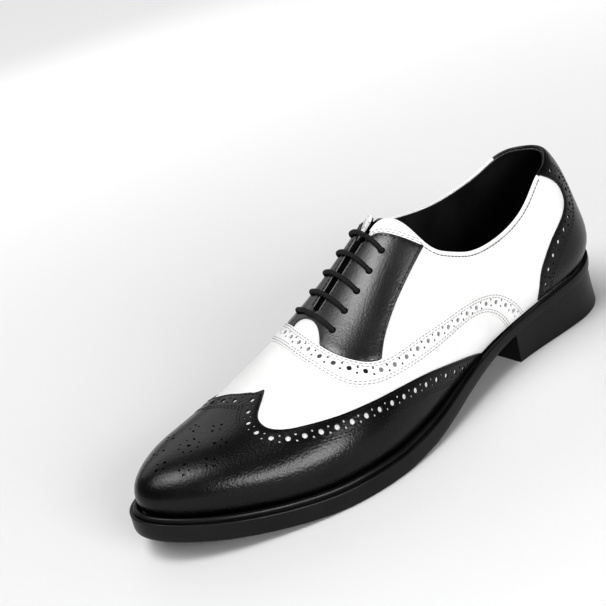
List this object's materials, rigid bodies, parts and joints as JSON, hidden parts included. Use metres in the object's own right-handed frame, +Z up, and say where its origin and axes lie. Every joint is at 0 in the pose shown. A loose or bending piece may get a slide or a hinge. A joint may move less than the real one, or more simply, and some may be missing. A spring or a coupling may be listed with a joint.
{
  "type": "brogue shoe",
  "caption": "Left wing-cap brogue Oxford in black and white leather: hollow last-shaped upper with cut overlays, laced facings, welted sole with arch, toe spring and flared heel.",
  "frame": {"origin": "Centre of the shoe's bounding box in plan, on the floor that heel and ball stand on.", "axes": "+X from heel to toe, +Y to the wearer's left, which is this left shoe's outer side, +Z up."},
  "size_m": [0.3086, 0.1071, 0.1005],
  "materials": {
    "sole_black": "satin",
    "welt_black": "satin",
    "heel_black": "satin",
    "insole_black": "matte",
    "upper_white": "smooth semi-gloss",
    "tongue_black": "satin",
    "cap_black": "polished, glossy",
    "band_white": "smooth semi-gloss",
    "facing_black": "satin",
    "counter_black": "satin",
    "lace_black": "woven, matte"
  },
  "bodies": {
    "root": {"outsole": "sole_black", "welt": "welt_black", "heel": "heel_black", "insole": "insole_black", "upper": "upper_white", "tongue": "tongue_black", "wing_cap": "cap_black", "vamp_band": "band_white", "facing_lateral": "facing_black", "facing_medial": "facing_black", "counter": "counter_black", "lace_bar_1": "lace_black", "lace_bar_2": "lace_black", "lace_bar_3": "lace_black", "lace_bar_4": "lace_black", "lace_bar_5": "lace_black"}
  },
  "joints": []
}
